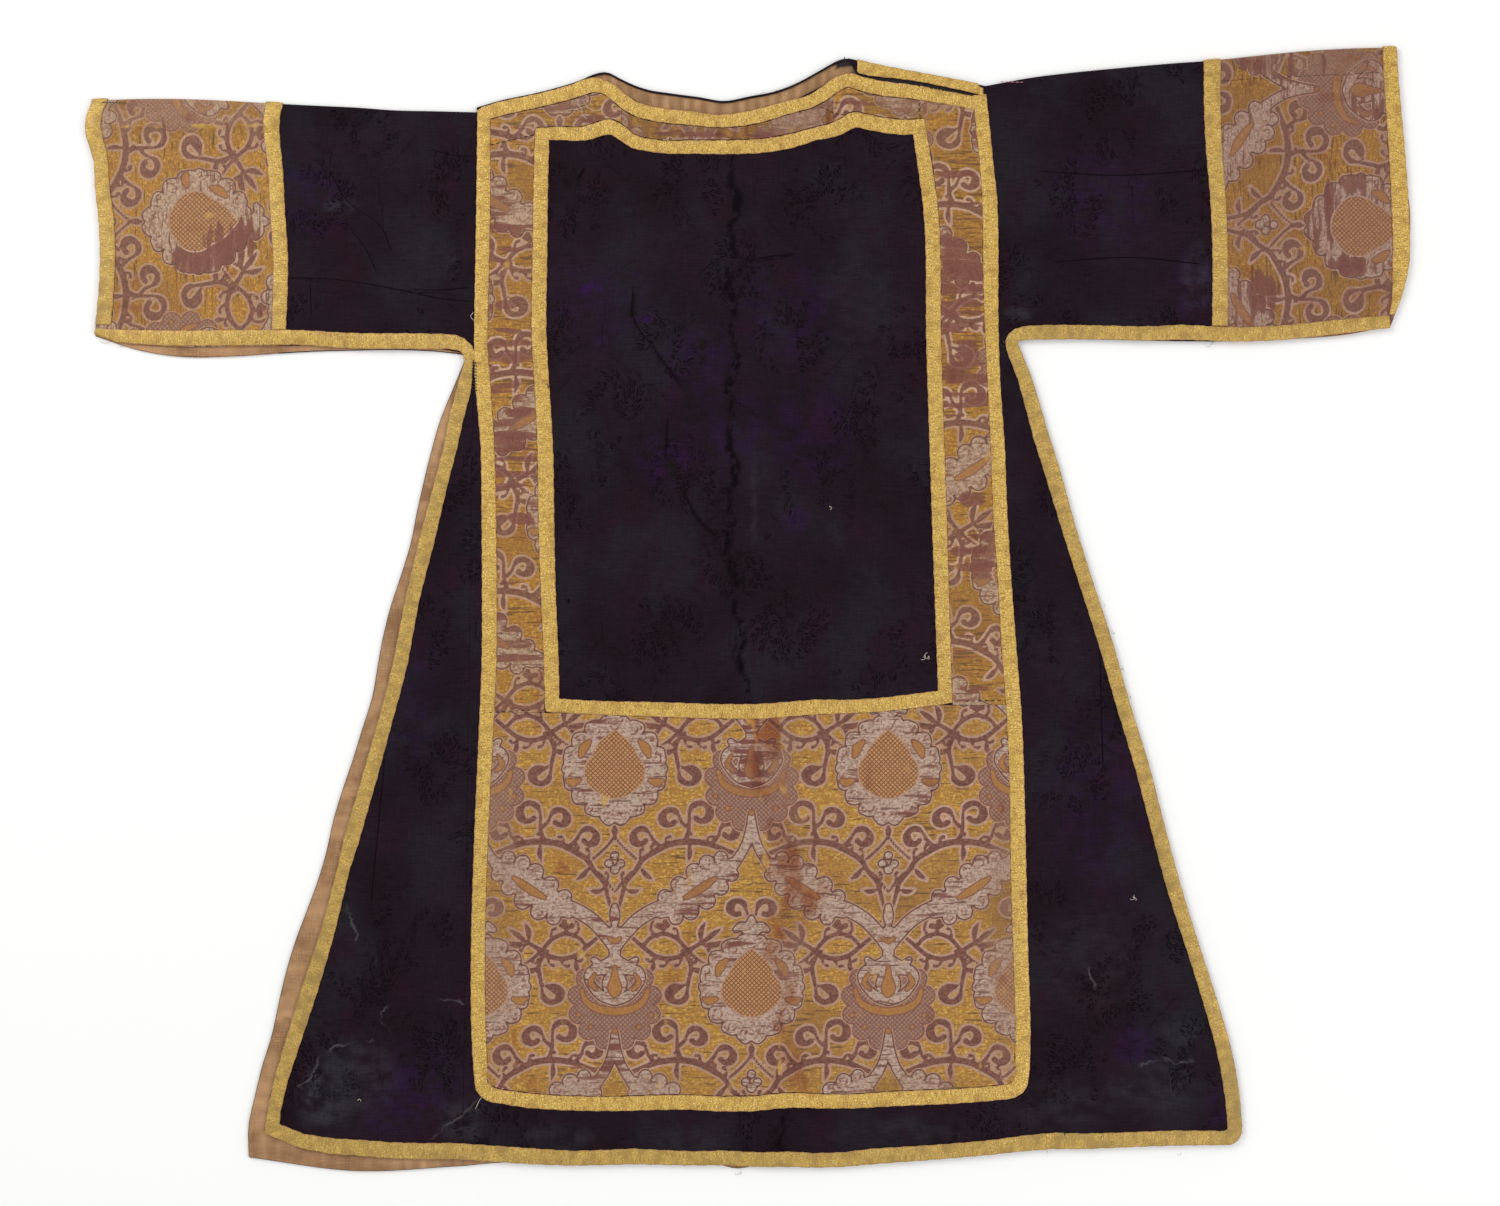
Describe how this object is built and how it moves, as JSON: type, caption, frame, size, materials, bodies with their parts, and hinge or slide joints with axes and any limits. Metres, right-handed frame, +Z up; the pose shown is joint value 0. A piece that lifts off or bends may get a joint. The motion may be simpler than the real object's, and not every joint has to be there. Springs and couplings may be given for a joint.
{
  "type": "dalmatic",
  "caption": "Wide-sleeved dalmatic laid flat: dark figured damask with gold brocade foot panel, shoulder columns and cuffs, edged in gold galloon braid.",
  "frame": {"origin": "on the table under the middle of the laid-out garment", "axes": "+X along the arms towards the wearer's left sleeve (the right one as seen from the front), +Y from hem to neck, +Z up through the layers, so the front faces up"},
  "size_m": [1.3228, 1.1242, 0.0079],
  "materials": {
    "damask": "self-patterned silk damask, aubergine black, worn satin sheen",
    "brocade": "silk brocade with metal thread: ochre ground, mauve vines, silver-grey leaves",
    "lining": "plain glazed tan-pink lining, matte and creased",
    "braid": "woven gold-thread galloon with fine dark dots, soft metallic sheen"
  },
  "bodies": {
    "root": {"back_panel": "damask", "back_gore_left": "damask", "back_gore_right": "damask", "front_panel": "damask", "front_gore_left": "damask", "front_gore_right": "damask", "sleeve_left": "damask", "sleeve_right": "damask", "cuff_left": "brocade", "cuff_right": "brocade", "brocade_foot": "brocade", "brocade_column_left": "brocade", "brocade_column_right": "brocade", "brocade_shoulder_left": "brocade", "brocade_shoulder_right": "brocade", "brocade_neck_band": "brocade", "back_lining": "lining", "gore_lining_left": "lining", "gore_lining_right": "lining", "sleeve_lining_left": "lining", "sleeve_lining_right": "lining", "orphrey_braid": "braid", "panel_braid": "braid", "panel_braid_top": "braid", "neck_braid": "braid", "shoulder_braid_back": "braid", "hem_braid": "braid", "sleeve_hem_braid_left": "braid", "sleeve_hem_braid_right": "braid", "cuff_braid_left": "braid", "cuff_braid_right": "braid", "band_braid_left": "braid", "band_braid_right": "braid"}
  },
  "joints": []
}
